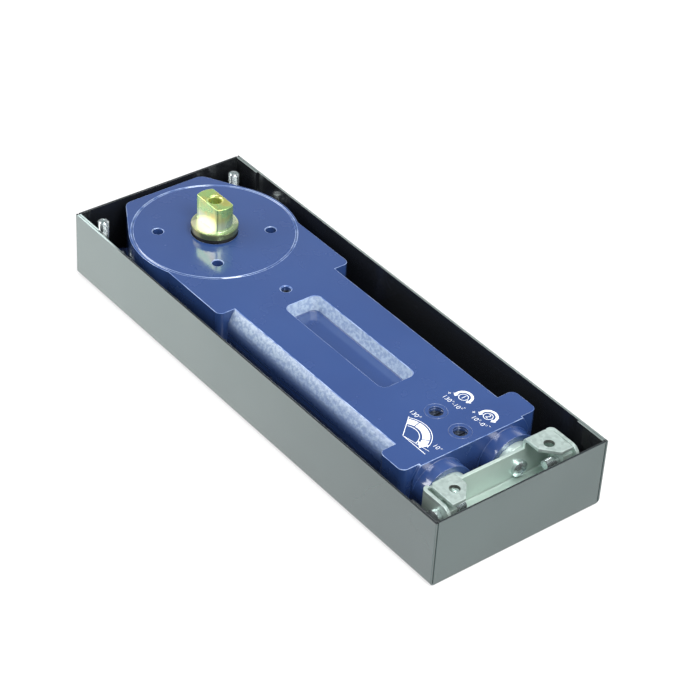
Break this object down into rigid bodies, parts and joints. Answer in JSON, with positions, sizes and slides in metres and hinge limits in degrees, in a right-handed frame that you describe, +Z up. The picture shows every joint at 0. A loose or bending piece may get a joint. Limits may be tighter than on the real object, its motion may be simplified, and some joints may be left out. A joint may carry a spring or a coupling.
{
  "type": "floor spring",
  "caption": "Floor spring for a swing door: a hydraulic closer body with an upright drive spindle, racks, pistons and speed valves, set in a flat cement box.",
  "frame": {"origin": "centre of the cement box's underside", "axes": "+X along the box from the spindle's end to the adjusting bracket's end, +Y across the box, +Z up along the spindle"},
  "size_m": [0.306, 0.108, 0.058],
  "materials": {
    "box_paint": "gloss black paint on sheet steel",
    "body_enamel": "gloss blue enamel on cast iron, rough where it is not machined",
    "cover_enamel": "gloss blue enamel, bare at its machined edge",
    "bright_zinc": "bright zinc plate, faintly mottled",
    "screw_zinc": "bright zinc plate",
    "yellow_zinc": "yellow passivated zinc plate",
    "ground_steel": "ground steel",
    "oiled_steel": "hardened steel in oil",
    "spring_steel": "oiled spring steel",
    "black_rubber": "matt black rubber"
  },
  "bodies": {
    "box": {"cement_box": "box_paint", "clamp_studs": "screw_zinc", "clamp_nuts": "screw_zinc"},
    "unit": {"body_casting": "body_enamel", "bearing_cover": "cover_enamel", "cover_seal": "black_rubber", "spindle_wiper": "black_rubber", "upper_bearing_outer": "ground_steel", "upper_bearing_balls": "ground_steel", "lower_bearing": "ground_steel", "near_plug": "bright_zinc", "far_plug": "bright_zinc", "near_plug_seal": "black_rubber", "far_plug_seal": "black_rubber", "near_spring": "spring_steel", "far_spring": "spring_steel", "fill_plug": "screw_zinc", "valve_collars": "cover_enamel", "adjusting_bracket": "bright_zinc", "bracket_screws": "screw_zinc", "threaded_blocks": "bright_zinc"},
    "spindle": {"spindle": "yellow_zinc", "upper_bearing_inner": "ground_steel"},
    "near_rack": {"near_rack_piston": "oiled_steel", "near_piston_seal": "black_rubber", "near_check_ball": "ground_steel"},
    "far_rack": {"far_rack_piston": "oiled_steel", "far_piston_seal": "black_rubber", "far_check_ball": "ground_steel"},
    "sweep_valve_lift": {"sweep_valve_seal": "black_rubber"},
    "sweep_valve": {"sweep_valve_screw": "screw_zinc"},
    "latch_valve_lift": {"latch_valve_seal": "black_rubber"},
    "latch_valve": {"latch_valve_screw": "screw_zinc"},
    "near_side_feed": {"near_side_washer": "screw_zinc"},
    "near_side_screw": {"near_side_screw": "screw_zinc"},
    "far_side_feed": {"far_side_washer": "screw_zinc"},
    "far_side_screw": {"far_side_screw": "screw_zinc"},
    "near_level_screw": {"near_level_screw": "screw_zinc"},
    "far_level_screw": {"far_level_screw": "screw_zinc"}
  },
  "joints": [
    {"name": "side_shift", "type": "slide", "parent": "box", "child": "unit", "axis": [0, 1, 0], "range_m": [-0.002, 0.002]},
    {"name": "spindle_turn", "type": "hinge", "parent": "unit", "child": "spindle", "pos_m": [-0.1, 0, 0.03], "axis": [0, 0, 1], "range_deg": [-130, 130]},
    {"name": "near_rack_travel", "type": "slide", "parent": "unit", "child": "near_rack", "axis": [1, 0, 0], "range_m": [-0.01815, 0.01815], "stiffness_N_per_m": 16400, "deforming": ["near_spring"]},
    {"name": "far_rack_travel", "type": "slide", "parent": "unit", "child": "far_rack", "axis": [1, 0, 0], "range_m": [-0.01815, 0.01815], "deforming": ["far_spring"]},
    {"name": "sweep_valve_rise", "type": "slide", "parent": "unit", "child": "sweep_valve_lift", "axis": [0, 0, 1], "range_m": [-0.00075, 0.00075]},
    {"name": "sweep_valve_turn", "type": "hinge", "parent": "sweep_valve_lift", "child": "sweep_valve", "pos_m": [0.0875, 0, 0.03], "axis": [0, 0, 1], "range_deg": [-360, 360]},
    {"name": "latch_valve_rise", "type": "slide", "parent": "unit", "child": "latch_valve_lift", "axis": [0, 0, 1], "range_m": [-0.00075, 0.00075]},
    {"name": "latch_valve_turn", "type": "hinge", "parent": "latch_valve_lift", "child": "latch_valve", "pos_m": [0.106, 0, 0.03], "axis": [0, 0, 1], "range_deg": [-360, 360]},
    {"name": "near_side_push", "type": "slide", "parent": "unit", "child": "near_side_feed", "axis": [0, -1, 0], "range_m": [0, 0.003]},
    {"name": "near_side_turn", "type": "hinge", "parent": "near_side_feed", "child": "near_side_screw", "pos_m": [0.14, -0.034, 0.028], "axis": [0, -1, 0], "range_deg": [0, 1350]},
    {"name": "far_side_push", "type": "slide", "parent": "unit", "child": "far_side_feed", "axis": [0, 1, 0], "range_m": [0, 0.003]},
    {"name": "far_side_turn", "type": "hinge", "parent": "far_side_feed", "child": "far_side_screw", "pos_m": [0.14, 0.034, 0.028], "axis": [0, 1, 0], "range_deg": [0, 1350]},
    {"name": "near_level_turn", "type": "hinge", "parent": "unit", "child": "near_level_screw", "pos_m": [-0.1425, -0.0432, 0.018], "axis": [0, 0, 1], "range_deg": [-360, 360]},
    {"name": "far_level_turn", "type": "hinge", "parent": "unit", "child": "far_level_screw", "pos_m": [-0.1425, 0.0432, 0.018], "axis": [0, 0, 1], "range_deg": [-360, 360]}
  ],
  "couplings": [
    {"joint": "spindle_turn", "follows": "near_rack_travel", "rad_per_m": 125},
    {"joint": "far_rack_travel", "follows": "near_rack_travel", "ratio": -1},
    {"joint": "sweep_valve_turn", "follows": "sweep_valve_rise", "rad_per_m": 8377.6},
    {"joint": "latch_valve_turn", "follows": "latch_valve_rise", "rad_per_m": 8377.6},
    {"joint": "near_side_turn", "follows": "near_side_push", "rad_per_m": 7854},
    {"joint": "far_side_turn", "follows": "far_side_push", "rad_per_m": 7854}
  ]
}
